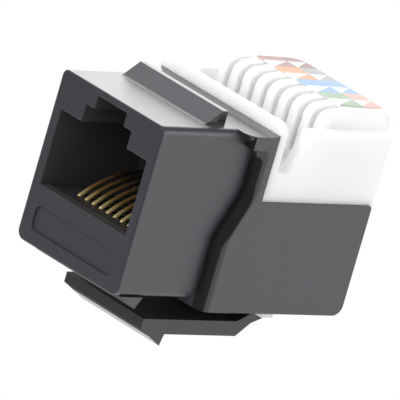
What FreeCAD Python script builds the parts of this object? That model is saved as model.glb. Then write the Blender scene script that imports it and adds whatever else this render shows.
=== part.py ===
import FreeCAD, Part
import math
import os
import re
import Sketcher
from FreeCAD import Vector

# Keystone jack: a black front housing with an eight-way modular plug port, a sprung latch arm under it,
# and a white wire termination block behind.
# X runs across the face, Y goes from the face to the rear, Z is up.
# The origin is the centre of the plug port, in the plane of the face.

# Driving dimensions, in millimetres
SIZES = [
    ("body_width", 14.4, "front body, across"),
    ("body_height", 16.0, "front body, top to bottom"),
    ("top_level", 7.05, "top of the body above the port centre"),
    ("body_round", 0.65, "rounding along the upper edges"),
    ("foot_round", 0.9, "rounding along the lower edges"),
    ("face_round", 0.18, "rounding round the face"),
    ("port_width", 12.2, "plug port, across"),
    ("port_height", 7.05, "plug port, without the latch notch"),
    ("key_width", 6.42, "wide step of the latch notch"),
    ("key_height", 1.62, "height of the wide step"),
    ("clip_width", 4.1, "narrow step of the latch notch"),
    ("clip_height", 1.25, "height of the narrow step"),
    ("notch_depth", 9.4, "depth of the latch notch"),
    ("port_edge", 0.12, "small rounding along the edge of the port"),
    ("badge_width", 11.4, "shallow recess under the port"),
    ("badge_height", 2.35, "height of that recess"),
    ("badge_margin", 1.3, "bare strip under that recess"),
    ("badge_depth", 0.2, "depth of that recess"),
    ("badge_round", 0.6, "corner radius of that recess"),
    ("lip_front", 2.77, "lowest line of the wedge under the face"),
    ("lip_rear", 3.38, "rear end of that wedge"),
    ("lip_drop", 1.09, "height of that wedge"),
    ("lip_inset", 0.25, "wedge ends, in from the sides"),
    ("ridge_front", 5.81, "foot of the fixed catch ridge"),
    ("ridge_crest", 7.5, "front of the ridge's crest"),
    ("ridge_back", 8.1, "upright catch face of the ridge"),
    ("ridge_height", 1.33, "ridge above the top"),
    ("ridge_width", 11.84, "ridge, across"),
    ("ridge_round", 0.6, "hollow at the ridge's foot"),
    ("ridge_seat", 0.3, "depth that the ridge's shape runs into the body"),
    ("collar_reach", 1.4, "rear collar, out from the front body on each side"),
    ("collar_rear", 12.5, "rear face of the collar"),
    ("collar_drop", 0.6, "collar below the front body"),
    ("step_top", 9.0, "start of the side step at the top"),
    ("step_high", 10.9, "start of the side step at its bulge"),
    ("step_low", 9.07, "start of the side step lower down"),
    ("turn_high", 5.15, "level of the step's upper bend"),
    ("turn_mid", 1.5, "level where the step bends forward"),
    ("turn_low", -2.8, "level where the step runs down"),
    ("bend_high", 1.1, "radius of the upper bend"),
    ("bend_low", 3.0, "radius of the two long bends"),
    ("step_flat", 0.3, "flat strip of the side step before its rounding"),
    ("block_top", 1.27, "height of the square block at the top of the step"),
    ("block_front", 9.79, "front of that block"),
    ("lip_rise", 0.15, "sloping strip along the collar's rear edge"),
    ("lip_strip", 1.0, "depth of that strip"),
    ("plate_top", 0.96, "top edge of the side plates"),
    ("plate_rear", 25.83, "rear end of the side plates"),
    ("plate_wall", 1.1, "thickness of the side plates"),
    ("plate_inset", 0.07, "plates, in from the collar's sides"),
    ("plate_round_top", 0.35, "upper rear corner of the plates"),
    ("plate_round_low", 1.0, "lower rear corner of the plates"),
    ("tray_floor", 1.2, "thickness of the tray's floor"),
    ("ledge_height", 0.6, "ledges that carry the circuit board"),
    ("ledge_width", 0.85, "width of the ledges"),
    ("fit_gap", 0.05, "gap round the pieces that are pushed in"),
    ("bay_drop", 1.7, "bay for the contact carrier, below the port"),
    ("bay_front", 1.1, "front end of that bay"),
    ("carrier_wall", 10.8, "front of the carrier's rear wall"),
    ("contact_pitch", 1.016, "spacing of the plug contacts"),
    ("wire_radius", 0.2, "radius of a contact wire"),
    ("wire_front", 2.4, "front of the wires' bend"),
    ("wire_drop", 0.6, "run of the wires below the port floor"),
    ("wire_bend", 0.35, "radius of the front bend"),
    ("wire_end_y", 11.3, "free end of a wire"),
    ("wire_end_z", -1.15, "level of the free end"),
    ("wire_lift", 38, "slope of a wire where it enters the port, degrees"),
    ("tail_near", 14.4, "tails of the odd wires"),
    ("tail_far", 16.2, "tails of the even wires"),
    ("tail_bend", 0.5, "radius of the wire's bend above its tail"),
    ("tail_length", 0.3, "tails below the circuit board"),
    ("groove_width", 0.5, "grooves for the wires"),
    ("board_top", -6.2, "upper face of the circuit board"),
    ("board_depth_gap", 0.2, "gap in front of the board"),
    ("board_rear", 24.0, "rear edge of the board"),
    ("hole_gap", 0.05, "gap round the pins in the board"),
    ("block_wall_top", 8.2, "top of the white flange"),
    ("flange_depth", 0.9, "thickness of the flange"),
    ("flange_round", 1.1, "upper corners of the flange"),
    ("trough_floor", 3.65, "floor of the trough behind the flange"),
    ("cheek_front", 14.95, "foot of the cheeks' sloping front edge"),
    ("cheek_lean", 1.25, "lean of that edge to the rear"),
    ("cheek_top", 7.6, "top of the cheeks"),
    ("comb_margin", 0.4, "comb and deck, out beyond the outer slots' own width"),
    ("cheek_wall", 1.3, "least thickness of the cheeks beside the comb"),
    ("comb_front", 18.2, "front of the comb's teeth"),
    ("comb_shoulder", 9.0, "level where the teeth lean back"),
    ("deck_front", 20.7, "front of the deck"),
    ("deck_level", 9.32, "level of the deck at its front"),
    ("deck_fall", 0.15, "fall of the deck to the rear"),
    ("deck_rear", 27.3, "rear of the deck"),
    ("deck_skirt", 7.0, "lower edge of the deck's overhang"),
    ("shoulder_round", 1.35, "rounding of the teeth's shoulder"),
    ("deck_round", 1.4, "rounding of the deck's front"),
    ("deck_corner", 1.7, "rear corners of the deck, seen from above"),
    ("deck_side_round", 1.1, "rounding along the deck's sides and rear"),
    ("slot_pitch", 1.7, "spacing of the wire slots"),
    ("slot_width", 0.6, "width of a wire slot"),
    ("slot_floor", 4.4, "lowest part of a wire slot"),
    ("slot_rear", 20.85, "rear end of the slots"),
    ("foot_front", 18.1, "feet of the white block"),
    ("foot_rear", 19.4, "rear of the feet"),
    ("foot_inner", 5.7, "inner side of the feet"),
    ("foot_outer", 6.9, "outer side of the feet"),
    ("foot_drop", 1.0, "feet below the tray"),
    ("fork_y", 20.0, "middle of the insulation displacement contacts"),
    ("fork_width", 1.3, "width of a fork"),
    ("fork_thick", 0.4, "thickness of a fork"),
    ("fork_top", 7.9, "top of a fork"),
    ("fork_slit", 0.26, "slit between the tines"),
    ("fork_slit_depth", 3.2, "depth of the slit"),
    ("pin_radius", 0.3, "round pin under a fork"),
    ("label_front", 21.0, "front edge of the wiring label"),
    ("label_rear", 26.1, "rear edge of the label"),
    ("label_width", 11.8, "label, across"),
    ("label_thick", 0.12, "thickness of the label"),
    ("label_round", 1.2, "rear left corner of the label"),
    ("arm_width", 11.04, "latch arm, across"),
    ("arm_front", 5.6, "free end of the arm"),
    ("arm_gap", 2.55, "gap between the front body and the arm"),
    ("arm_tip", 0.95, "height of the arm's free end"),
    ("arm_thick", 1.4, "thickness of the arm"),
    ("tooth_tip_y", 8.29, "lowest line of the catch tooth"),
    ("tooth_drop", 1.1, "tooth below the arm"),
    ("tooth_back", 8.54, "catch face of the tooth"),
    ("arm_bend", 16.97, "rear end of the straight arm"),
    ("root_y", 19.15, "flexing root of the arm"),
    ("root_drop", 0.5, "middle of the root below the tray"),
    ("root_radius", 0.9, "radius of the root"),
]

doc = FreeCAD.newDocument("keystone_jack")
sheet = doc.addObject("Spreadsheet::Sheet", "sizes")
for row, (alias, number, note) in enumerate(SIZES, 1):
    sheet.set(f"A{row}", alias)
    sheet.set(f"B{row}", str(number))
    sheet.set(f"C{row}", note)
    sheet.setAlias(f"B{row}", alias)
scratch = doc.addObject("Spreadsheet::Sheet", "scratch")
doc.recompute()

# Eight wires, each with its contact, its slot and its fork
WAYS = 8

# Levels and places that several pieces share, as sums of the driving dimensions
BODY_LOW = "(top_level - body_height)"
COMB_OUT = f"({WAYS}*slot_pitch/2 + comb_margin)"
PLATE_OUT = f"max(body_width/2 + collar_reach - plate_inset; {COMB_OUT} + cheek_wall)"
PLATE_IN = f"({PLATE_OUT} - plate_wall)"
COLLAR_OUT = f"({PLATE_OUT} + plate_inset)"
STEP_ROUND = "(collar_reach - step_flat)"
COLLAR_LOW = "(top_level - body_height - collar_drop)"
TRAY_TOP = "(top_level - body_height - collar_drop + tray_floor)"
PORT_LOW = "(-port_height/2)"
BOARD_LOW = "(top_level - body_height - collar_drop + tray_floor + ledge_height)"
BAY_LOW = "(-port_height/2 - bay_drop)"
WIRE_LEVEL = "(-port_height/2 - wire_drop)"
ARM_TOP = "(top_level - body_height - arm_gap)"
ARM_LOW = "(top_level - body_height - arm_gap - arm_thick)"
ROOT_Z = "(top_level - body_height - collar_drop - root_drop)"

# The plane that each view is drawn on, and the sense of that plane's normal along its axis
VIEWS = {"side": ("YZ_Plane", 1), "front": ("XZ_Plane", -1), "plan": ("XY_Plane", 1)}


def bound(text):
    """The expression with each driving dimension read from the sheet."""
    return re.sub(r"[a-z]\w*\b(?!\()", lambda word: "sizes." + word.group(), text)


def size(alias):
    """The present value of one driving dimension."""
    return getattr(sheet, alias)


def value(text):
    """The present value of an expression, worked out in a cell of the scratch sheet."""
    scratch.set("A1", "=" + bound(text))
    scratch.recompute()
    return float(scratch.get("A1"))


def negative(text):
    return f"-({text})"


def box(left, right, low, high):
    """Corners of a rectangle in a view."""
    return [(left, low), (right, low), (right, high), (left, high)]


def new_body(label):
    body = doc.addObject("PartDesign::Body", label)
    body.Label = label
    return body


def new_sketch(body, view, level):
    """An empty sketch square to the view, at a level along the axis that it looks along."""
    role, sense = VIEWS[view]
    sketch = body.newObject("Sketcher::SketchObject", "outline")
    plane = [item for item in body.Origin.OriginFeatures if item.Role == role][0]
    sketch.AttachmentSupport = [(plane, "")]
    sketch.MapMode = "FlatFace"
    sketch.setExpression("AttachmentOffset.Base.z", bound(level if sense > 0 else negative(level)))
    return sketch


def tie(sketch, kind, item, point, text):
    """Ties one coordinate of a point to an expression."""
    index = sketch.addConstraint(Sketcher.Constraint(kind, -1, 1, item, point, value(text)))
    sketch.setExpression(f"Constraints[{index}]", bound(text))


def join(sketch, kind, *ends):
    sketch.addConstraint(Sketcher.Constraint(kind, *ends))


def draw_corners(sketch, corners):
    """A closed outline whose corners are tied to the sheet; a third entry is a corner's radius."""
    points = [Vector(value(corner[0]), value(corner[1]), 0) for corner in corners]
    count = len(corners)
    arrive, leave, arcs = list(points), list(points), {}
    for index, corner in enumerate(corners):
        if len(corner) == 3:
            point, radius = points[index], value(corner[2])
            back = (points[index - 1] - point).normalize()
            ahead = (points[(index + 1) % count] - point).normalize()
            half_angle = back.getAngle(ahead) / 2
            inward = (back + ahead).normalize()
            centre = point + inward * (radius / math.sin(half_angle))
            arrive[index] = point + back * (radius / math.tan(half_angle))
            leave[index] = point + ahead * (radius / math.tan(half_angle))
            arc = Part.Arc(arrive[index], centre - inward * radius, leave[index])
            anticlockwise = (arrive[index] - centre).cross(leave[index] - centre).z > 0
            arcs[index] = (arc, anticlockwise)
    lines = [
        sketch.addGeometry(Part.LineSegment(leave[index], arrive[(index + 1) % count]))
        for index in range(count)
    ]
    for index, corner in enumerate(corners):
        before, after = lines[index - 1], lines[index]
        if index in arcs:
            arc, anticlockwise = arcs[index]
            curve = sketch.addGeometry(arc)
            spot = sketch.addGeometry(Part.Point(points[index]), True)
            join(sketch, "PointOnObject", spot, 1, before)
            join(sketch, "PointOnObject", spot, 1, after)
            join(sketch, "Tangent", before, 2, curve, 1 if anticlockwise else 2)
            join(sketch, "Tangent", curve, 2 if anticlockwise else 1, after, 1)
            turn = sketch.addConstraint(Sketcher.Constraint("Radius", curve, value(corner[2])))
            sketch.setExpression(f"Constraints[{turn}]", bound(corner[2]))
        else:
            spot = after
            join(sketch, "Coincident", before, 2, after, 1)
        tie(sketch, "DistanceX", spot, 1, corner[0])
        tie(sketch, "DistanceY", spot, 1, corner[1])


def draw_circle(sketch, centre, radius):
    middle = Vector(value(centre[0]), value(centre[1]), 0)
    sketch.addGeometry(Part.Circle(middle, Vector(0, 0, 1), value(radius)))
    tie(sketch, "DistanceX", 0, 3, centre[0])
    tie(sketch, "DistanceY", 0, 3, centre[1])
    index = sketch.addConstraint(Sketcher.Constraint("Radius", 0, value(radius)))
    sketch.setExpression(f"Constraints[{index}]", bound(radius))


def stretch(body, view, corners, low, high, cut=False, radius=None):
    """Adds the outline's solid between two levels, or cuts it away. With a radius, corners is a centre."""
    forward = VIEWS[view][1] > 0
    before = body.Shape.Volume if body.Tip else 0.0
    sketch = new_sketch(body, view, low if forward != cut else high)
    if radius:
        draw_circle(sketch, corners, radius)
    else:
        draw_corners(sketch, corners)
    feature = body.newObject("PartDesign::Pocket" if cut else "PartDesign::Pad", "cut" if cut else "solid")
    feature.Profile = sketch
    feature.setExpression("Length", bound(f"({high}) - ({low})"))
    doc.recompute()
    change = body.Shape.Volume - before
    if change == 0 or (change > 0) == cut:
        raise RuntimeError(f"{body.Label}: {feature.Name} changes nothing, {feature.State}")


def round_edges(body, radius, chosen):
    """Rounds the edges that the test picks."""
    base = body.Tip
    names = [f"Edge{index}" for index, edge in enumerate(base.Shape.Edges, 1) if chosen(edge)]
    if not names:
        raise RuntimeError(f"{body.Label}: no edge to round by {radius}")
    feature = body.newObject("PartDesign::Fillet", "round")
    feature.Base = (base, names)
    feature.setExpression("Radius", bound(radius))
    doc.recompute()
    if not feature.isValid():
        raise RuntimeError(f"{body.Label}: the edges can't be rounded by {radius}")


def near(value, target):
    return abs(value - target) < 0.02


def along(edge, axis):
    """True where the edge is straight and parallel to the axis X, Y or Z."""
    box_of = edge.BoundBox
    lengths = {"X": box_of.XLength, "Y": box_of.YLength, "Z": box_of.ZLength}
    return all(lengths[name] < 0.01 for name in lengths if name != axis) and lengths[axis] > 0.01


def places(count, pitch):
    """Expressions for evenly spaced places about the middle."""
    return [f"({2 * index - count + 1}*{pitch}/2)" for index in range(count)]


# Black front housing: one moulding with the face, the fixed catch ridge, the collar and the rear tray
def make_housing():
    body = new_body("housing")
    half = "body_width/2"
    stretch(body, "side", box("0", "step_high", BODY_LOW, "top_level"), negative(half), half)
    low, top = size("top_level") - size("body_height"), size("top_level")
    round_edges(body, "body_round", lambda edge: along(edge, "Y") and near(edge.BoundBox.ZMax, top))
    round_edges(body, "foot_round", lambda edge: along(edge, "Y") and near(edge.BoundBox.ZMax, low))
    round_edges(body, "face_round", lambda edge: edge.BoundBox.YMax < 0.01)

    # Wedge under the face, which leads the jack into its panel
    lip = [("0.6*lip_front/2", BODY_LOW), ("lip_front", BODY_LOW + " - lip_drop"), ("lip_rear", BODY_LOW)]
    stretch(body, "side", lip, "-body_width/2 + lip_inset", "body_width/2 - lip_inset")
    add_collar(body)
    add_ridge(body)
    add_tray(body)
    cut_port(body)
    return body


def add_collar(body):
    """Collar behind the front body, wider on both sides; its front edge runs down in an S."""
    outline = [
        ("step_top", "top_level"),
        ("step_high", "turn_high", "bend_high"),
        ("step_high", "turn_mid", "bend_low"),
        ("step_low", "turn_low", "bend_low"),
        ("step_low", COLLAR_LOW),
        ("collar_rear", COLLAR_LOW),
        ("collar_rear", "top_level + lip_rise"),
        ("collar_rear - lip_strip", "top_level"),
    ]
    stretch(body, "side", outline, negative(COLLAR_OUT), COLLAR_OUT)
    side = value(COLLAR_OUT)

    def on_step(edge):
        outer = near(abs(edge.BoundBox.XMin), side) and edge.BoundBox.XLength < 0.01
        return outer and edge.BoundBox.YMax < size("step_high") + 0.5

    round_edges(body, STEP_ROUND, on_step)
    for sense in ("-", ""):
        inner, outer = f"{sense}(body_width/2 - body_round)", f"{sense}{COLLAR_OUT}"
        low, high = (outer, inner) if sense else (inner, outer)
        corner = box("block_front", "collar_rear", "top_level - block_top", "top_level")
        stretch(body, "side", corner, low, high)


def add_ridge(body):
    """Fixed catch: a wedge across the top whose rear face holds the edge of the panel."""
    outline = [
        ("ridge_front - ridge_round", "top_level"),
        ("ridge_front", "top_level", "ridge_round"),
        ("ridge_crest", "top_level + ridge_height"),
        ("ridge_back", "top_level + ridge_height"),
        ("ridge_back", "top_level - ridge_seat"),
        ("ridge_front - ridge_round", "top_level - ridge_seat"),
    ]
    stretch(body, "side", outline, "-ridge_width/2", "ridge_width/2")


def add_tray(body):
    """Two side plates and a floor behind the collar; ledges inside carry the circuit board."""
    plate = box("collar_rear", "plate_rear", COLLAR_LOW, "plate_top")
    stretch(body, "side", plate, PLATE_IN, PLATE_OUT)
    stretch(body, "side", plate, negative(PLATE_OUT), negative(PLATE_IN))
    floor = box("collar_rear", "plate_rear", COLLAR_LOW, TRAY_TOP)
    stretch(body, "side", floor, negative(PLATE_IN), PLATE_IN)
    ledge = box("collar_rear", "board_rear", TRAY_TOP, BOARD_LOW)
    stretch(body, "side", ledge, PLATE_IN + " - ledge_width", PLATE_IN)
    stretch(body, "side", ledge, negative(PLATE_IN), negative(PLATE_IN + " - ledge_width"))

    rear, top = size("plate_rear"), size("plate_top")
    low = size("top_level") - size("body_height") - size("collar_drop")

    def corner(level):
        def chosen(edge):
            return along(edge, "X") and near(edge.BoundBox.YMin, rear) and near(edge.BoundBox.ZMin, level)

        return chosen

    round_edges(body, "plate_round_top", corner(top))
    round_edges(body, "plate_round_low", corner(low))

    # Slots in the floor for the white block's feet
    for sense in ("-", ""):
        inner, outer = f"{sense}(foot_inner - fit_gap)", f"{sense}(foot_outer + fit_gap)"
        left, right = (outer, inner) if sense else (inner, outer)
        slot = box(left, right, "foot_front - fit_gap", "foot_rear + fit_gap")
        stretch(body, "plan", slot, COLLAR_LOW + " - 1", BOARD_LOW + " + fit_gap", cut=True)

    # Hollow that the latch arm's root turns in
    centre = ("root_y", ROOT_Z)
    reach = "arm_width/2 + fit_gap"
    stretch(body, "side", centre, negative(reach), reach, cut=True, radius="root_radius + fit_gap")


def cut_port(body):
    """Plug port with its stepped latch notch, the bay behind it and the bare recess under it."""
    key_top = "port_height/2 + key_height"
    half = "port_width/2"
    port = [
        (negative(half), PORT_LOW), (half, PORT_LOW), (half, "port_height/2"),
        ("key_width/2", "port_height/2"), ("key_width/2", key_top),
        ("clip_width/2", key_top), ("clip_width/2", key_top + " + clip_height"),
        ("-clip_width/2", key_top + " + clip_height"), ("-clip_width/2", key_top),
        ("-key_width/2", key_top), ("-key_width/2", "port_height/2"), (negative(half), "port_height/2"),
    ]
    stretch(body, "front", port, "0", "notch_depth", cut=True)
    side, low = size("port_width") / 2, -size("port_height") / 2
    round_edges(body, "port_edge", lambda edge: edge.BoundBox.YMax < 0.01 and edge.BoundBox.ZMin > low - 0.02
                and max(abs(edge.BoundBox.XMin), abs(edge.BoundBox.XMax)) < side + 0.02
                and edge.BoundBox.ZMax < size("top_level") - 0.3)
    bay = box(negative(half), half, BAY_LOW, "port_height/2")
    stretch(body, "front", bay, "bay_front", "collar_rear", cut=True)
    badge_low = "top_level - body_height + badge_margin"
    badge = box("-badge_width/2", "badge_width/2", badge_low, badge_low + " + badge_height")
    stretch(body, "front", badge, "0", "badge_depth", cut=True)
    depth = size("badge_depth")
    round_edges(body, "badge_round", lambda edge: along(edge, "Y") and near(edge.BoundBox.YMax, depth)
                and near(edge.BoundBox.YMin, 0))


# Latch arm under the housing: the real one is moulded on and flexes at its root
def make_latch_arm():
    body = new_body("latch_arm")
    half = "arm_width/2"
    outline = [
        ("arm_front", ARM_TOP),
        ("arm_front", ARM_TOP + " - arm_tip"),
        ("tooth_tip_y", ARM_LOW + " - tooth_drop"),
        ("tooth_back", ARM_LOW),
        ("arm_bend", ARM_LOW),
        ("arm_bend + arm_thick", ARM_LOW + " + 0.9*arm_thick"),
        ("root_y + 0.8*root_radius", ARM_TOP + " + 0.35*arm_thick"),
        ("root_y + root_radius", ROOT_Z),
        ("root_y - root_radius", ROOT_Z),
        ("root_y - root_radius", ARM_TOP + " + 0.6*arm_thick"),
        ("arm_bend - 0.2*arm_thick", ARM_TOP),
    ]
    stretch(body, "side", outline, negative(half), half)
    stretch(body, "side", ("root_y", ROOT_Z), negative(half), half, radius="root_radius")
    return body


# Contact carrier: the floor and rear wall behind the port, grooved for the eight wires
def make_carrier():
    body = new_body("contact_carrier")
    outline = [
        ("bay_front + fit_gap", BAY_LOW + " + fit_gap"),
        ("collar_rear - fit_gap", BAY_LOW + " + fit_gap"),
        ("collar_rear - fit_gap", "port_height/2 - fit_gap"),
        ("carrier_wall", "port_height/2 - fit_gap"),
        ("carrier_wall", PORT_LOW),
        ("bay_front + fit_gap", PORT_LOW),
    ]
    half = "(port_width/2 - fit_gap)"
    stretch(body, "side", outline, negative(half), half)
    groove = [
        ("wire_front - 2*fit_gap", WIRE_LEVEL + " - wire_radius - fit_gap"),
        ("collar_rear", WIRE_LEVEL + " - wire_radius - fit_gap"),
        ("collar_rear", WIRE_LEVEL + " + 2*wire_radius"),
        ("carrier_wall + 4*wire_radius", WIRE_LEVEL + " + 2*wire_radius"),
        ("carrier_wall + 4*wire_radius", "wire_end_z + 3*wire_radius"),
        ("carrier_wall - fit_gap", "wire_end_z + 3*wire_radius"),
        ("carrier_wall - fit_gap", PORT_LOW + " + fit_gap"),
        ("wire_front - 2*fit_gap", PORT_LOW + " + fit_gap"),
    ]
    for place in places(WAYS, "contact_pitch"):
        stretch(body, "side", groove, f"{place} - groove_width/2", f"{place} + groove_width/2", cut=True)
    return body


def unit(degrees):
    """Direction in the side view, from the Y axis upwards."""
    return FreeCAD.Rotation(Vector(1, 0, 0), degrees).multVec(Vector(0, 1, 0))


# Contact wire: along the carrier's floor, round the front bend and up into the port
def wire_path(tail_y):
    level = -size("port_height") / 2 - size("wire_drop")
    bend, drop, lift = size("wire_bend"), size("tail_bend"), size("wire_lift")
    board_low = size("top_level") - size("body_height") - size("collar_drop")
    board_low += size("tray_floor") + size("ledge_height")
    tail = Vector(0, tail_y, board_low - size("tail_length"))
    tail_top = Vector(0, tail_y, level - drop)
    tail_mid = Vector(0, tail_y - drop, level - drop) + unit(45) * drop
    run_rear = Vector(0, tail_y - drop, level)
    centre = Vector(0, size("wire_front") + bend + size("wire_radius"), level + bend)
    run_front = centre + unit(-90) * bend
    rise = centre + unit(lift + 90) * bend
    turn = centre + unit(lift / 2 + 180) * bend
    end = Vector(0, size("wire_end_y"), size("wire_end_z"))
    heading = Part.LineSegment(rise, end)
    chord = (end - rise).Length
    fall = lift - math.degrees((end - rise).getAngle(Vector(0, 1, 0)))
    sag = chord / 2 * (unit(fall / 2).z / unit(fall / 2).y)
    middle = heading.value(heading.LastParameter / 2) + unit(lift - fall + 90) * sag
    return Part.Wire([
        Part.LineSegment(tail, tail_top).toShape(),
        Part.Arc(tail_top, tail_mid, run_rear).toShape(),
        Part.LineSegment(run_rear, run_front).toShape(),
        Part.Arc(run_front, turn, rise).toShape(),
        Part.Arc(rise, middle, end).toShape(),
    ])


def make_wire(index):
    place = (2 * index - WAYS + 1) * size("contact_pitch") / 2
    path = wire_path(size("tail_far") if index % 2 else size("tail_near"))
    start = path.Vertexes[0].Point
    ring = Part.Wire(Part.Circle(start, Vector(0, 0, 1), size("wire_radius")).toShape())
    wire = doc.addObject("Part::Feature", f"contact_wire_{index + 1}")
    wire.Shape = path.makePipeShell([ring], True, False)
    wire.Placement = FreeCAD.Placement(Vector(place, 0, 0), FreeCAD.Rotation())
    return wire


# Circuit board on the tray's ledges, with a hole for each wire tail and each fork pin
def make_board():
    body = new_body("circuit_board")
    half = PLATE_IN + " - fit_gap"
    front = "collar_rear + board_depth_gap"
    outline = [
        (negative(half), front), (half, front),
        (half, "foot_front - fit_gap"), ("foot_inner - 2*fit_gap", "foot_front - fit_gap"),
        ("foot_inner - 2*fit_gap", "foot_rear + 2*fit_gap"), (half, "foot_rear + 2*fit_gap"),
        (half, "board_rear - fit_gap"), (negative(half), "board_rear - fit_gap"),
        (negative(half), "foot_rear + 2*fit_gap"), ("-foot_inner + 2*fit_gap", "foot_rear + 2*fit_gap"),
        ("-foot_inner + 2*fit_gap", "foot_front - fit_gap"), (negative(half), "foot_front - fit_gap"),
    ]
    stretch(body, "plan", outline, BOARD_LOW, "board_top")
    for index, place in enumerate(places(WAYS, "contact_pitch")):
        tail = "tail_far" if index % 2 else "tail_near"
        stretch(body, "plan", (place, tail), BOARD_LOW, "board_top", True, "wire_radius + hole_gap")
    for place in places(WAYS, "slot_pitch"):
        stretch(body, "plan", (place, "fork_y"), BOARD_LOW, "board_top", True, "pin_radius + hole_gap")
    return body


def add_deck(body):
    """Comb and deck of the white block, rounded along the sides and the rear."""
    deck = [
        ("comb_front", "trough_floor"), ("comb_front", "comb_shoulder", "shoulder_round"),
        ("deck_front", "deck_level", "deck_round"),
        ("deck_rear", "deck_level - deck_fall"), ("deck_rear", "deck_skirt"),
        ("plate_rear - 2*fit_gap", "deck_skirt - 1"), ("plate_rear - 2*fit_gap", "trough_floor"),
    ]
    stretch(body, "side", deck, negative(COMB_OUT), COMB_OUT)
    side, rear, low = value(COMB_OUT), size("deck_rear"), size("comb_shoulder") - size("shoulder_round")
    round_edges(body, "deck_corner", lambda edge: along(edge, "Z") and near(edge.BoundBox.YMin, rear))

    def on_side(edge):
        on_wall = near(abs(edge.BoundBox.XMin), side) and edge.BoundBox.XLength < 0.01
        return on_wall and edge.BoundBox.ZMin > low - 0.5 and edge.BoundBox.YMax > size("deck_front") + 1

    round_edges(body, "deck_side_round", on_side)


# White wire block: flange, trough, comb of eight wire slots and the deck that carries the label
def make_block():
    body = new_body("idc_block")
    add_deck(body)
    inner = "(" + PLATE_IN + " - fit_gap)"
    outer = PLATE_OUT
    shoulder = "(plate_top + fit_gap)"
    lower = [
        ("collar_rear", "board_top"), ("board_rear", "board_top"), ("board_rear", TRAY_TOP),
        ("plate_rear - 2*fit_gap", TRAY_TOP), ("plate_rear - 2*fit_gap", shoulder), ("collar_rear", shoulder),
    ]
    stretch(body, "side", lower, negative(inner), inner)
    upper = [
        ("collar_rear", shoulder), ("plate_rear - 2*fit_gap", shoulder),
        ("plate_rear - 2*fit_gap", "cheek_top"), ("cheek_front + cheek_lean", "cheek_top"),
        ("cheek_front", "trough_floor"), ("collar_rear", "trough_floor"),
    ]
    stretch(body, "side", upper, negative(outer), outer)
    trough = box("collar_rear + flange_depth", "comb_front", "trough_floor", "cheek_top + 1")
    stretch(body, "side", trough, negative(COMB_OUT), COMB_OUT, cut=True)
    flange = box(negative(outer), outer, shoulder, "block_wall_top")
    stretch(body, "front", flange, "collar_rear", "collar_rear + flange_depth")
    top = size("block_wall_top")
    round_edges(body, "flange_round", lambda edge: along(edge, "Y") and near(edge.BoundBox.ZMin, top))

    # Wire slots, and the pocket of each fork that crosses them
    slot = box("comb_front - 1", "slot_rear", "slot_floor", "deck_level + 1")
    pocket_rear = "fork_y + fork_thick/2 + fit_gap"
    pocket = box("fork_y - fork_thick/2 - fit_gap", pocket_rear, "board_top", "fork_top + fit_gap")
    for place in places(WAYS, "slot_pitch"):
        stretch(body, "side", slot, f"{place} - slot_width/2", f"{place} + slot_width/2", cut=True)
        reach = "fork_width/2 + fit_gap"
        stretch(body, "side", pocket, f"{place} - ({reach})", f"{place} + {reach}", cut=True)

    # Hollow over the wire tails
    hollow = box("collar_rear", "tail_far + 4*wire_radius", "board_top", WIRE_LEVEL + " + 3*wire_radius")
    width = f"({WAYS}*contact_pitch/2 + wire_radius)"
    stretch(body, "side", hollow, negative(width), width, cut=True)

    # Feet through the tray's floor
    foot = box("foot_front", "foot_rear", COLLAR_LOW + " - foot_drop", "board_top")
    stretch(body, "side", foot, "foot_inner", "foot_outer")
    stretch(body, "side", foot, "-foot_outer", "-foot_inner")
    return body


# Insulation displacement contact: a flat fork with a slit for the wire and a round pin in the board
def make_fork(index):
    body = new_body(f"idc_contact_{index + 1}")
    place = places(WAYS, "slot_pitch")[index]
    front, rear = "fork_y - fork_thick/2", "fork_y + fork_thick/2"
    half = "fork_width/2"
    outline = [
        (f"{place} - {half}", "board_top"), (f"{place} + {half}", "board_top"),
        (f"{place} + {half}", "fork_top"), (f"{place} + fork_slit", "fork_top"),
        (f"{place} + fork_slit/2", "fork_top - fork_slit"),
        (f"{place} + fork_slit/2", "fork_top - fork_slit_depth"),
        (f"{place} - fork_slit/2", "fork_top - fork_slit_depth"),
        (f"{place} - fork_slit/2", "fork_top - fork_slit"),
        (f"{place} - fork_slit", "fork_top"), (f"{place} - {half}", "fork_top"),
    ]
    stretch(body, "front", outline, front, rear)
    low = BOARD_LOW + " - tail_length"
    stretch(body, "plan", (place, "fork_y"), low, "board_top", radius="pin_radius")
    return body


# Wiring label on the sloping deck
def make_label():
    body = new_body("wiring_label")
    slope = "deck_fall/(deck_rear - deck_front)"
    front = f"deck_level - {slope}*(label_front - deck_front)"
    rear = f"deck_level - {slope}*(label_rear - deck_front)"
    outline = [
        ("label_front", front), ("label_rear", rear),
        ("label_rear", rear + " + label_thick"), ("label_front", front + " + label_thick"),
    ]
    stretch(body, "side", outline, "-label_width/2", "label_width/2")
    left, back = -size("label_width") / 2, size("label_rear")
    round_edges(body, "label_round", lambda edge: along(edge, "Z") and near(edge.BoundBox.XMin, left)
                and near(edge.BoundBox.YMin, back))
    return body


pieces = [make_housing(), make_latch_arm(), make_carrier(), make_board(), make_block(), make_label()]
pieces += [make_wire(index) for index in range(WAYS)]
pieces += [make_fork(index) for index in range(WAYS)]
doc.recompute()

for item in doc.Objects:
    if "Invalid" in item.State or "Error" in item.State:
        raise RuntimeError(f"{item.Name} failed: {item.State}")
for piece in pieces:
    shape = piece.Shape
    if shape.isNull() or not shape.isValid() or len(shape.Solids) != 1:
        raise RuntimeError(f"{piece.Label} is not one valid solid")

os.makedirs("parts", exist_ok=True)
for piece in pieces:
    piece.Shape.exportStep(f"parts/{piece.Label}.step")
    print(f"{piece.Label}: {piece.Shape.Volume:.2f} mm3")
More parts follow.
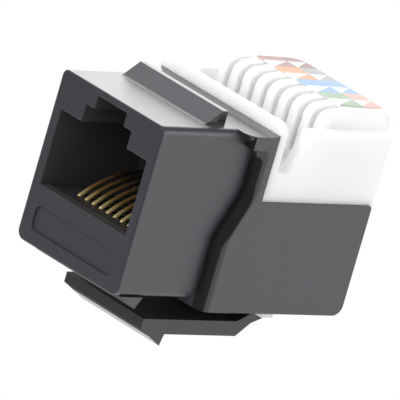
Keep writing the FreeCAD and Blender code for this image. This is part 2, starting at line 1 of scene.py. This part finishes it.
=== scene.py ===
# %% [markdown]
# A keystone jack is a small socket that snaps into a wall plate. Its black housing has a plug port in front,
# and a white block behind takes the wires. The forms could be modelled here, but they come ready from a CAD
# model, whose measures are exact. So this lesson adds no pieces. It gives the solids their finishes and sets
# up the table, the lights and the camera.

# %% Load the solids
import math

import bpy
from mathutils import Euler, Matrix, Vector

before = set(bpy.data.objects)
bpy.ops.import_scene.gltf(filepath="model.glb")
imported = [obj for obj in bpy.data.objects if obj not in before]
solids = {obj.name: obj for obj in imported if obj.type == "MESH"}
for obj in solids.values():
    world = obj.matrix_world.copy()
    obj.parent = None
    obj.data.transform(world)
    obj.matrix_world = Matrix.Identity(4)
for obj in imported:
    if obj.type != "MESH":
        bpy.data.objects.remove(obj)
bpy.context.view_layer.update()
print("solids:", ", ".join(sorted(solids)))

# %% [markdown]
# Every length on the jack is written in millimetres, as on a drawing of so small a thing, and MM turns it
# into Blender's metres. A colour could be given as the linear numbers that a shader expects. A web colour is
# easier to compare with a photograph, so a helper turns one into the other.

# %% Measures and colours
MM = 0.001


def colour(code):
    """Linear red, green, blue and alpha of a web colour."""
    parts = [int(code[start:start + 2], 16) / 255 for start in (1, 3, 5)]
    linear = [part / 12.92 if part <= 0.04045 else ((part + 0.055) / 1.055) ** 2.4 for part in parts]
    return (*linear, 1)


print("mid grey is", [round(part, 3) for part in colour("#808080")])

# %% [markdown]
# A finish is a material, and a material is a small network of nodes. It could be clicked together in the
# shader editor. The finishes of the jack share many parts, so short helpers add the nodes instead: one adds
# any node and fills its sockets, one makes a material with its shader ready, one links a result to that
# shader, and one gives the material to a solid.

# %% Helpers for finishes


def add_node(tree, kind, inputs=None, **options):
    """A new node with its options set and its sockets set or linked."""
    made = tree.nodes.new(kind)
    for name, setting in options.items():
        setattr(made, name, setting)
    for name, setting in (inputs or {}).items():
        if isinstance(setting, bpy.types.NodeSocket):
            tree.links.new(setting, made.inputs[name])
        else:
            made.inputs[name].default_value = setting
    return made


def new_finish(name, inputs):
    """A material whose one shader has these values."""
    finish = bpy.data.materials.new(name)
    finish.use_nodes = True
    shader = finish.node_tree.nodes["Principled BSDF"]
    for socket, setting in inputs.items():
        shader.inputs[socket].default_value = setting
    return finish


def feed(finish, socket, source):
    """Links a result to a socket of the finish's shader."""
    tree = finish.node_tree
    tree.links.new(source, tree.nodes["Principled BSDF"].inputs[socket])


def dress(name, finish):
    """Gives a solid its finish."""
    slots = solids[name].material_slots
    if slots:
        slots[0].material = finish
    else:
        solids[name].data.materials.append(finish)


print("the helpers can dress", len(solids), "solids")

# %% [markdown]
# Many finishes calculate with each point's place on its piece. Object coordinates give that place, and they
# stay with the piece when it moves. The helpers here read it, calculate with it, tell how far a value has
# come between two ends, and blend numbers or colours. A Mix node has a pair of sockets for every kind of
# data, so it is reached by number: 2 and 3 take numbers, and 6 and 7 take colours.

# %% Helpers that calculate and blend


def object_place(tree):
    """Each point's place on its piece, in metres."""
    return add_node(tree, "ShaderNodeTexCoord").outputs["Object"]


def math_node(tree, operation, first, second=0.0):
    """The result of a calculation with two numbers or sockets."""
    return add_node(tree, "ShaderNodeMath", {0: first, 1: second}, operation=operation).outputs[0]


def progress(tree, value, start, end):
    """How far a value has come from start to end, from 0 to 1."""
    ends = {"Value": value, "From Min": start, "From Max": end}
    return add_node(tree, "ShaderNodeMapRange", ends).outputs[0]


def mix_numbers(tree, mask, first, second):
    """The first number where the mask is 0, and the second where it is 1."""
    return add_node(tree, "ShaderNodeMix", {0: mask, 2: first, 3: second}, data_type="FLOAT").outputs[0]


def mix_colours(tree, mask, first, second):
    """The first colour where the mask is 0, and the second where it is 1."""
    return add_node(tree, "ShaderNodeMix", {0: mask, 6: first, 7: second}, data_type="RGBA").outputs[2]


def colour_ramp(tree, value, stops, interpolation="LINEAR"):
    """The colours of the stops, each with its place from 0 to 1."""
    ramp = add_node(tree, "ShaderNodeValToRGB", {0: value})
    ramp.color_ramp.interpolation = interpolation
    elements = ramp.color_ramp.elements
    while len(elements) < len(stops):
        elements.new(0.5)
    for element, (position, code) in zip(elements, stops):
        element.position = position
        element.color = colour(code)
    return ramp.outputs[0]


print("a length of 1 mm is", MM, "in object coordinates")

# %% [markdown]
# Moulded plastic and plated metal are never quite even. A grain could be painted as an image, but a noise
# texture has no edges and stays sharp however close the camera comes. It raises small bumps, and where the
# gloss should wander too, it also moves the roughness a little up and down.

# %% Helper for the grain
GRAIN_HEIGHT = 0.02 * MM


def add_grain(finish, per_mm, strength, spread=0.0):
    """Gives a finish so many bumps to the millimetre, and a roughness that wanders by the spread."""
    tree = finish.node_tree
    pattern = {"Vector": object_place(tree), "Scale": per_mm / MM, "Detail": 2.0}
    grain = add_node(tree, "ShaderNodeTexNoise", pattern).outputs[0]
    bumps = {"Strength": strength, "Distance": GRAIN_HEIGHT, "Height": grain}
    feed(finish, "Normal", add_node(tree, "ShaderNodeBump", bumps).outputs[0])
    if spread:
        rough = tree.nodes["Principled BSDF"].inputs["Roughness"].default_value
        limits = {"Value": grain, "To Min": rough - spread, "To Max": rough + spread}
        feed(finish, "Roughness", add_node(tree, "ShaderNodeMapRange", limits).outputs[0])


print("grain is at most", round(GRAIN_HEIGHT / MM, 3), "mm high")

# %% [markdown]
# The housing and the latch arm are moulded in black plastic. Their broad faces have a fine texture from the
# mould, which scatters light and looks grey. Smooth faces are painted almost black, as painted shade for the
# dark reflection they show, and other zones hold painted shade or a painted sheen. Each tone could be a
# material of its own, on faces cut out for it. Here one finish holds them all, so nothing has to be cut: a
# mask, made from each point's place and from the way its surface faces, chooses between the tones.

# %% Black plastic with zones
TEXTURED = colour("#39393F")
# Painted shade: smooth faces are painted almost black for the dark reflection they show
SMOOTH_SHADE_TONE = colour("#171717")
POLISHED, MATT, SOFT, DULL = 0.16, 0.4, 0.5, 0.9
PLASTIC_IOR = 1.7
TURNED_AWAY, TURNED_TOWARDS = 0.15, 0.3


def inside(tree, place, low, high):
    """A mask that is 1 within a box given in millimetres."""
    centre = [(a + b) / 2 * MM for a, b in zip(low, high)]
    half = [(b - a) / 2 * MM for a, b in zip(low, high)]
    offset = add_node(tree, "ShaderNodeVectorMath", {0: place, 1: centre}, operation="SUBTRACT").outputs[0]
    reach = add_node(tree, "ShaderNodeVectorMath", {0: offset}, operation="ABSOLUTE").outputs[0]
    parts = add_node(tree, "ShaderNodeSeparateXYZ", {0: reach}).outputs
    within = [math_node(tree, "LESS_THAN", part, size) for part, size in zip(parts, half)]
    return math_node(tree, "MULTIPLY", math_node(tree, "MULTIPLY", within[0], within[1]), within[2])


def facing(tree, direction):
    """A mask that is 1 where the surface looks in a direction."""
    normal = add_node(tree, "ShaderNodeTexCoord").outputs["Normal"]
    pair = {0: normal, 1: direction}
    likeness = add_node(tree, "ShaderNodeVectorMath", pair, operation="DOT_PRODUCT").outputs["Value"]
    return progress(tree, likeness, TURNED_AWAY, TURNED_TOWARDS)


def black_plastic(name, zones):
    """Textured black plastic with tones of painted shade or sheen in its zones; later zones cover earlier
    ones.
    """
    finish = new_finish(name, {"Base Color": TEXTURED, "Roughness": MATT, "IOR": PLASTIC_IOR})
    add_grain(finish, per_mm=9, strength=0.03)
    tree = finish.node_tree
    place = object_place(tree)
    tone, rough = TEXTURED, MATT
    for box, direction, zone_tone, zone_rough in zones:
        mask = inside(tree, place, *box)
        if direction:
            mask = math_node(tree, "MULTIPLY", mask, facing(tree, direction))
        tone = mix_colours(tree, mask, tone, zone_tone)
        rough = mix_numbers(tree, mask, rough, zone_rough)
    feed(finish, "Base Color", tone)
    feed(finish, "Roughness", rough)
    return finish


print("black plastic has a roughness of", POLISHED, "to", DULL)

# %% [markdown]
# On the housing the face round the port is painted a little darker than the broad sides, as painted shade,
# and the inside of the port is painted a little lighter, as painted light in its shade. The step at each side
# and the ends of the catch ridge are smooth, and painted almost black as painted shade for the dark
# reflection they show. The wedge under the face is dull, and the strip of the top in front of the white
# flange is painted lighter, as a painted sheen. Each of these is a box round that part of the housing, and
# most count only the surfaces that look one way. The boxes could follow the shapes more closely, but a plain
# box is easy to read and to move.

# %% Housing
# Painted shade: the face round the port is painted darker than the sides
FACE_SHADE_TONE = colour("#333338")
# Painted light: the inside of the port is painted lighter to lift its shade
PORT_LIGHT_TONE = colour("#424242")
# Painted sheen: the top strip in front of the white flange is painted lighter
STRIP_SHEEN_TONE = colour("#5E5E62")
TO_FRONT, TO_TOP, TO_LEFT, TO_RIGHT = (0, -1, 0), (0, 0, 1), (-1, 0, 0), (1, 0, 0)
TO_LOW_FRONT = (0, -0.5, -0.87)

# Low and high corner of each box in millimetres
FACE = ((-7.3, -0.1, -9.1), (7.3, 0.8, 7.2))
PORT = ((-6.13, 0.13, -5.3), (6.13, 12.6, 6.42))
RIGHT_STEP = ((7.25, 8.5, -11), (9, 12.2, 7.0))
LEFT_STEP = ((-9, 8.5, -11), (-7.25, 12.2, 7.0))
WEDGE = ((-7.3, 0.5, -10.3), (7.3, 3.5, -8.9))
TOP_STRIP = ((-9, 11.48, 7.02), (9, 12.6, 7.3))
RIDGE_RIGHT_END = ((5.8, 5.5, 7.1), (6.1, 8.3, 8.5))
RIDGE_LEFT_END = ((-6.1, 5.5, 7.1), (-5.8, 8.3, 8.5))

housing_finish = black_plastic("textured black plastic", [
    (FACE, TO_FRONT, FACE_SHADE_TONE, MATT),
    (PORT, None, PORT_LIGHT_TONE, MATT),
    (RIGHT_STEP, TO_FRONT, SMOOTH_SHADE_TONE, POLISHED),
    (LEFT_STEP, TO_FRONT, SMOOTH_SHADE_TONE, POLISHED),
    (WEDGE, TO_LOW_FRONT, TEXTURED, DULL),
    (TOP_STRIP, TO_TOP, STRIP_SHEEN_TONE, POLISHED),
    (RIDGE_RIGHT_END, TO_RIGHT, SMOOTH_SHADE_TONE, POLISHED),
    (RIDGE_LEFT_END, TO_LEFT, SMOOTH_SHADE_TONE, POLISHED),
])
dress("housing", housing_finish)
print("black plastic on the housing")

# %% [markdown]
# The latch arm hangs under the housing and holds the jack in its panel. It is of the same plastic, painted a
# darker tone as painted shade under the housing. Its top is painted almost black, as painted shade, and is
# dull, and the ramp down to its catch tooth is dull at the free end and smooth near the tooth. The arm could
# have a new kind of finish, but the housing's helper does all this with other boxes. Object coordinates turn
# with the arm, so its zones stay in place when it moves.

# %% Latch arm
# Painted shade: the arm is painted darker because it lies in the shade under the housing
ARM_SHADE_TONE = colour("#262727")
WHOLE_ARM = ((-7, 4, -15), (7, 21, -8))
ARM_TOP = ((-5.6, 5.5, -11.7), (5.6, 17, -11.4))
RAMP_START = ((-5.6, 5.5, -13.1), (5.6, 6.8, -12.4))
RAMP_END = ((-5.6, 6.8, -14.1), (5.6, 8.35, -13.0))

latch_finish = black_plastic("textured black plastic of the latch", [
    (WHOLE_ARM, None, ARM_SHADE_TONE, SOFT),
    # Painted shade: the arm's top is painted almost black because it lies in the shade
    (ARM_TOP, TO_TOP, SMOOTH_SHADE_TONE, DULL),
    (RAMP_START, TO_LOW_FRONT, ARM_SHADE_TONE, DULL),
    (RAMP_END, TO_LOW_FRONT, ARM_SHADE_TONE, POLISHED),
])
dress("latch_arm", latch_finish)
print("black plastic on the latch arm")

# %% [markdown]
# The carrier inside the port holds the contacts apart. It is black plastic too and mostly in the dark, so it
# needs no zones and gets one even tone with a grain.

# %% Contact carrier
CARRIER_TONE = colour("#303030")
carrier_finish = new_finish("black carrier plastic", {"Base Color": CARRIER_TONE, "Roughness": MATT})
add_grain(carrier_finish, per_mm=9, strength=0.03, spread=0.05)
dress("contact_carrier", carrier_finish)
print("black plastic on the contact carrier")

# %% [markdown]
# The wire block is moulded in white plastic, which lets a little light through, so its slots and edges glow
# softly. A plain white would look like chalk. Subsurface scattering lets the light spread below the surface,
# here over two millimetres and for all colours alike.

# %% White plastic
WHITE = colour("#F4F4F2")
SAME_FOR_ALL = (1.0, 1.0, 1.0)
LIGHT_REACH = 2.0 * MM
white_finish = new_finish("white plastic", {
    "Base Color": WHITE, "Roughness": 0.5, "Specular IOR Level": 0.2,
    "Subsurface Weight": 0.9, "Subsurface Radius": SAME_FOR_ALL, "Subsurface Scale": LIGHT_REACH})
add_grain(white_finish, per_mm=6, strength=0.02, spread=0.06)
dress("idc_block", white_finish)
print("white plastic on the wire block")

# %% [markdown]
# The eight contacts in the port are spring wires plated with gold. They are bright at their tips and darker
# towards the rear, where little light reaches them. The shade in the port could make that change by itself,
# but it comes out too weak here, so a colour ramp along the depth paints that shade into the gold.

# %% Gold plating
WIRES = 8
GOLD_BRIGHT, GOLD_DARK = 2.4 * MM, 7.0 * MM
# Painted shade: the gold darkens along the depth of the port
GOLD_SHADE_STOPS = ((0.0, "#FFE6A6"), (0.3, "#A07C4A"), (1.0, "#3E3022"))
gold_finish = new_finish("gold plating", {"Metallic": 0.7, "Roughness": 0.25})
gold_tree = gold_finish.node_tree
depth = add_node(gold_tree, "ShaderNodeSeparateXYZ", {0: object_place(gold_tree)}).outputs["Y"]
way_in = progress(gold_tree, depth, GOLD_BRIGHT, GOLD_DARK)
feed(gold_finish, "Base Color", colour_ramp(gold_tree, way_in, GOLD_SHADE_STOPS))
add_grain(gold_finish, per_mm=12, strength=0.02, spread=0.05)
for index in range(1, WIRES + 1):
    dress(f"contact_wire_{index}", gold_finish)
print("gold plating on", WIRES, "contact wires")

# %% [markdown]
# Deep in the block's slots stand eight forks of tinned metal, which grip the wires. Tin isn't an even mirror
# and has dim clouds. They could be bumps in the surface, but a wide noise that blends two greys is enough at
# this size.

# %% Tin plating
TIN_BRIGHT, TIN_DIM = colour("#D2D1CD"), colour("#B9B8B3")
tin_finish = new_finish("tin plating", {"Metallic": 1.0, "Roughness": 0.35})
tin_tree = tin_finish.node_tree
cloud_pattern = {"Vector": object_place(tin_tree), "Scale": 1.5 / MM}
clouds = add_node(tin_tree, "ShaderNodeTexNoise", cloud_pattern).outputs[0]
feed(tin_finish, "Base Color", mix_colours(tin_tree, clouds, TIN_BRIGHT, TIN_DIM))
add_grain(tin_finish, per_mm=12, strength=0.02, spread=0.08)
for index in range(1, WIRES + 1):
    dress(f"idc_contact_{index}", tin_finish)
print("tin plating on", WIRES, "forks")

# %% [markdown]
# A circuit board joins the contacts to the forks. It is hidden between the housing and the block, and shows
# only when they are taken apart. Its tracks could be drawn one by one. Nobody sees them in place, so a wave
# texture in two greens stands for them.

# %% Circuit board
BOARD_GREEN, TRACK_GREEN = colour("#1F5A34"), colour("#2C7446")
board_finish = new_finish("green circuit board", {"Roughness": 0.35})
board_tree = board_finish.node_tree
waves = {"Vector": object_place(board_tree), "Scale": 0.3 / MM, "Distortion": 2.0}
tracks = add_node(board_tree, "ShaderNodeTexWave", waves).outputs["Color"]
feed(board_finish, "Base Color", mix_colours(board_tree, tracks, BOARD_GREEN, TRACK_GREEN))
add_grain(board_finish, per_mm=4, strength=0.05, spread=0.05)
dress("circuit_board", board_finish)
print("green finish on the circuit board")

# %% [markdown]
# The wiring label tells which coloured wire goes into which slot. It has two rows of four pairs. In each pair
# the first half is a plain field of the wire's colour. A slanting line splits the second half into a white
# triangle and a coloured one. The print could be an image, but the pattern is simple, so it is worked out
# from the place on the label and stays sharp at any size.

# %% Wiring label
PRINT_LEFT, PRINT_RIGHT = -6.4 * MM, 5.9 * MM
LABEL_FRONT, LABEL_MIDDLE, LABEL_REAR = 21.0 * MM, 23.8 * MM, 26.1 * MM
LABEL_WHITE = colour("#F6F6F5")
FRONT_ROW = ("#CCADAA", "#F1C2A8", "#B2CDF1", "#BCCFBD")
REAR_ROW = ("#C2A9A5", "#C8CAC7", "#B8CFEF", "#F7CDC2")


def row_of_colours(tree, column, codes):
    """Fields of equal width in these colours, from left to right."""
    stops = [(spot / len(codes), code) for spot, code in enumerate(codes)]
    return colour_ramp(tree, column, stops, "CONSTANT")


def printed_part(tree, column, row):
    """A mask that is 1 in the first half of each pair and in the triangle of its second half."""
    pair = math_node(tree, "FRACT", math_node(tree, "MULTIPLY", column, float(len(FRONT_ROW))))
    first_half = math_node(tree, "LESS_THAN", pair, 0.5)
    second_half = math_node(tree, "SUBTRACT", math_node(tree, "MULTIPLY", pair, 2.0), 1.0)
    triangle = math_node(tree, "GREATER_THAN", math_node(tree, "ADD", second_half, row), 1.0)
    return math_node(tree, "MAXIMUM", first_half, triangle)


def label_finish():
    """White paper with two rows of coloured fields and triangles."""
    finish = new_finish("printed label", {"Roughness": 0.7, "Specular IOR Level": 0.1})
    tree = finish.node_tree
    across, along, _ = add_node(tree, "ShaderNodeSeparateXYZ", {0: object_place(tree)}).outputs
    column = progress(tree, across, PRINT_LEFT, PRINT_RIGHT)
    in_rear_row = math_node(tree, "GREATER_THAN", along, LABEL_MIDDLE)
    rows_passed = math_node(tree, "ADD", progress(tree, along, LABEL_FRONT, LABEL_MIDDLE),
                            progress(tree, along, LABEL_MIDDLE, LABEL_REAR))
    row = math_node(tree, "SUBTRACT", rows_passed, in_rear_row)
    front_inks = row_of_colours(tree, column, FRONT_ROW)
    rear_inks = row_of_colours(tree, column, REAR_ROW)
    ink = mix_colours(tree, in_rear_row, front_inks, rear_inks)
    feed(finish, "Base Color", mix_colours(tree, printed_part(tree, column, row), LABEL_WHITE, ink))
    return finish


dress("wiring_label", label_finish())
print("label printed in two rows of", len(FRONT_ROW), "pairs")

# %% [markdown]
# The studio is a pale table with a backdrop. The table ends close in front of the jack, so the faces that
# look towards the camera reflect the dim room, and those that look away reflect the bright table. Stronger
# lamps could make the paper white, but they would wash out the jack. So the camera and the reflections are
# told to see the paper as white, whatever light falls on it.

# %% Table and backdrop
STUDIO_WIDTH = 4.0
TABLE_DEPTH = 2.0
TABLE_FRONT = -0.07
TABLE_TOP = -0.06
BACKDROP_HEIGHT = 1.0
FLAT = (0, 0, 0)
UPRIGHT = (math.pi / 2, 0, 0)
PAPER_GREY = (0.8, 0.8, 0.8, 1)
bpy.ops.object.select_all(action="DESELECT")


def pale_finish(name):
    """A pale surface that the camera, mirrors and glass see as white."""
    finish = bpy.data.materials.new(name)
    finish.use_nodes = True
    tree = finish.node_tree
    tree.nodes.clear()
    diffuse = add_node(tree, "ShaderNodeBsdfDiffuse", {"Color": PAPER_GREY})
    glow = add_node(tree, "ShaderNodeEmission", {"Color": (1, 1, 1, 1), "Strength": 1.0})
    rays = add_node(tree, "ShaderNodeLightPath").outputs
    seen = math_node(tree, "MAXIMUM", rays["Is Camera Ray"], rays["Is Glossy Ray"])
    seen = math_node(tree, "MAXIMUM", seen, rays["Is Transmission Ray"])
    mix = add_node(tree, "ShaderNodeMixShader", {0: seen, 1: diffuse.outputs[0], 2: glow.outputs[0]})
    add_node(tree, "ShaderNodeOutputMaterial", {0: mix.outputs[0]})
    return finish


def paper_sheet(name, width, length, middle, turn):
    """A flat sheet of pale paper with its middle at a place."""
    bpy.ops.mesh.primitive_plane_add(size=1, location=middle, rotation=turn)
    sheet = bpy.context.object
    sheet.name = name
    sheet.scale = (width, length, 1)
    bpy.ops.object.transform_apply(location=True, rotation=True, scale=True)
    sheet.data.materials.append(pale)
    return sheet


pale = pale_finish("pale paper")
table_middle = (0, TABLE_FRONT + TABLE_DEPTH / 2, TABLE_TOP)
backdrop_middle = (0, TABLE_FRONT + TABLE_DEPTH, TABLE_TOP + BACKDROP_HEIGHT / 2)
table = paper_sheet("table", STUDIO_WIDTH, TABLE_DEPTH, table_middle, FLAT)
backdrop = paper_sheet("backdrop", STUDIO_WIDTH, BACKDROP_HEIGHT, backdrop_middle, UPRIGHT)
print("the backdrop stands", TABLE_FRONT + TABLE_DEPTH, "metres behind the face of the jack")

# %% [markdown]
# The room gives an even light from all sides, as a bright studio does. A picture of a studio could stand
# round the scene, but an even tone is calm and hides nothing. Glossy surfaces see it much dimmer than it
# shines, so that the black plastic stays black.

# %% Room
ROOM_TONE = colour("#FDFDFF")
ROOM_LIGHT = 0.58
ROOM_MIRRORED = 0.14
world = bpy.data.worlds.new("room")
bpy.context.scene.world = world
world.use_nodes = True
room = world.node_tree
room_light = room.nodes["Background"]
room_light.inputs["Color"].default_value = ROOM_TONE
mirrored = add_node(room, "ShaderNodeLightPath").outputs["Is Glossy Ray"]
levels = {"Value": mirrored, "To Min": ROOM_LIGHT, "To Max": ROOM_MIRRORED}
room.links.new(add_node(room, "ShaderNodeMapRange", levels).outputs[0], room_light.inputs["Strength"])
print("the room shines at", ROOM_LIGHT, "and is mirrored at", ROOM_MIRRORED)

# %% [markdown]
# Soft boxes show the form. Point lamps could light the jack as well, but they would leave hard shadows and
# dots of light on the plastic. The box behind gives the top its sheen and adds nothing else, so that the
# white block isn't too bright from behind. The box at the right shows in the long side, and the two boxes
# above show in the ridge and the deck. The front box lights the face and the port but stays out of their
# reflections, and a small one beside it makes the glints on the gold tips.

# %% Soft boxes
LAMP_DISTANCE = 0.9


def soft_box(name, towards, size, brightness):
    """A square lamp that faces the jack from a direction and looks white at brightness 1."""
    bpy.ops.object.light_add(type="AREA", location=Vector(towards).normalized() * LAMP_DISTANCE)
    lamp = bpy.context.object
    lamp.name = name
    lamp.data.size = size
    lamp.data.energy = brightness * math.pi * size * size
    lamp.rotation_euler = Vector(towards).to_track_quat("Z", "Y").to_euler()
    print(name, "is", size, "metres wide, with", round(lamp.data.energy, 2), "watts")
    return lamp


rear_box = soft_box("rear box", towards=(-0.70, 0.67, 0.28), size=0.65, brightness=4.2)
rear_box.visible_diffuse = False
soft_box("right box", towards=(0.72, 0.62, 0.16), size=0.8, brightness=1.9)
front_box = soft_box("front box", towards=(0.10, -0.9, 0.46), size=0.7, brightness=4.0)
front_box.visible_glossy = False
soft_box("small front box", towards=(-0.15, -0.7, 0.6), size=0.07, brightness=60.0)
soft_box("upper left box", towards=(-0.7, -0.1, 0.72), size=0.35, brightness=1.8)
soft_box("upper rear box", towards=(-0.7, 0.31, 0.65), size=0.3, brightness=3.6)

# %% [markdown]
# The camera stands more than a metre away, to the right of the port and a little above it, and it leans, as
# a hand-held shot of a small thing does. A short lens close to the jack could frame it as well, but would
# make its near corner too large, so the lens is long. The place, the turns and the lens were fitted to the
# edges in the photograph. The turns are about x, y and z, in degrees.

# %% Camera
CAMERA_PLACE = (876.964 * MM, -837.021 * MM, 329.164 * MM)
CAMERA_TURNS = (74.22473, -15.62735, 50.22837)
SENSOR_WIDTH = 36.0
LENS = 1290.5
NEAREST, FARTHEST = 0.1, 20.0
bpy.ops.object.camera_add(location=CAMERA_PLACE)
camera = bpy.context.object
camera.rotation_euler = Euler([math.radians(angle) for angle in CAMERA_TURNS])
camera.data.sensor_width = SENSOR_WIDTH
camera.data.lens = LENS
camera.data.clip_start = NEAREST
camera.data.clip_end = FARTHEST
bpy.context.scene.camera = camera
bpy.context.scene.view_settings.view_transform = "Standard"
print("the camera stands", round(camera.location.length, 3), "metres away")
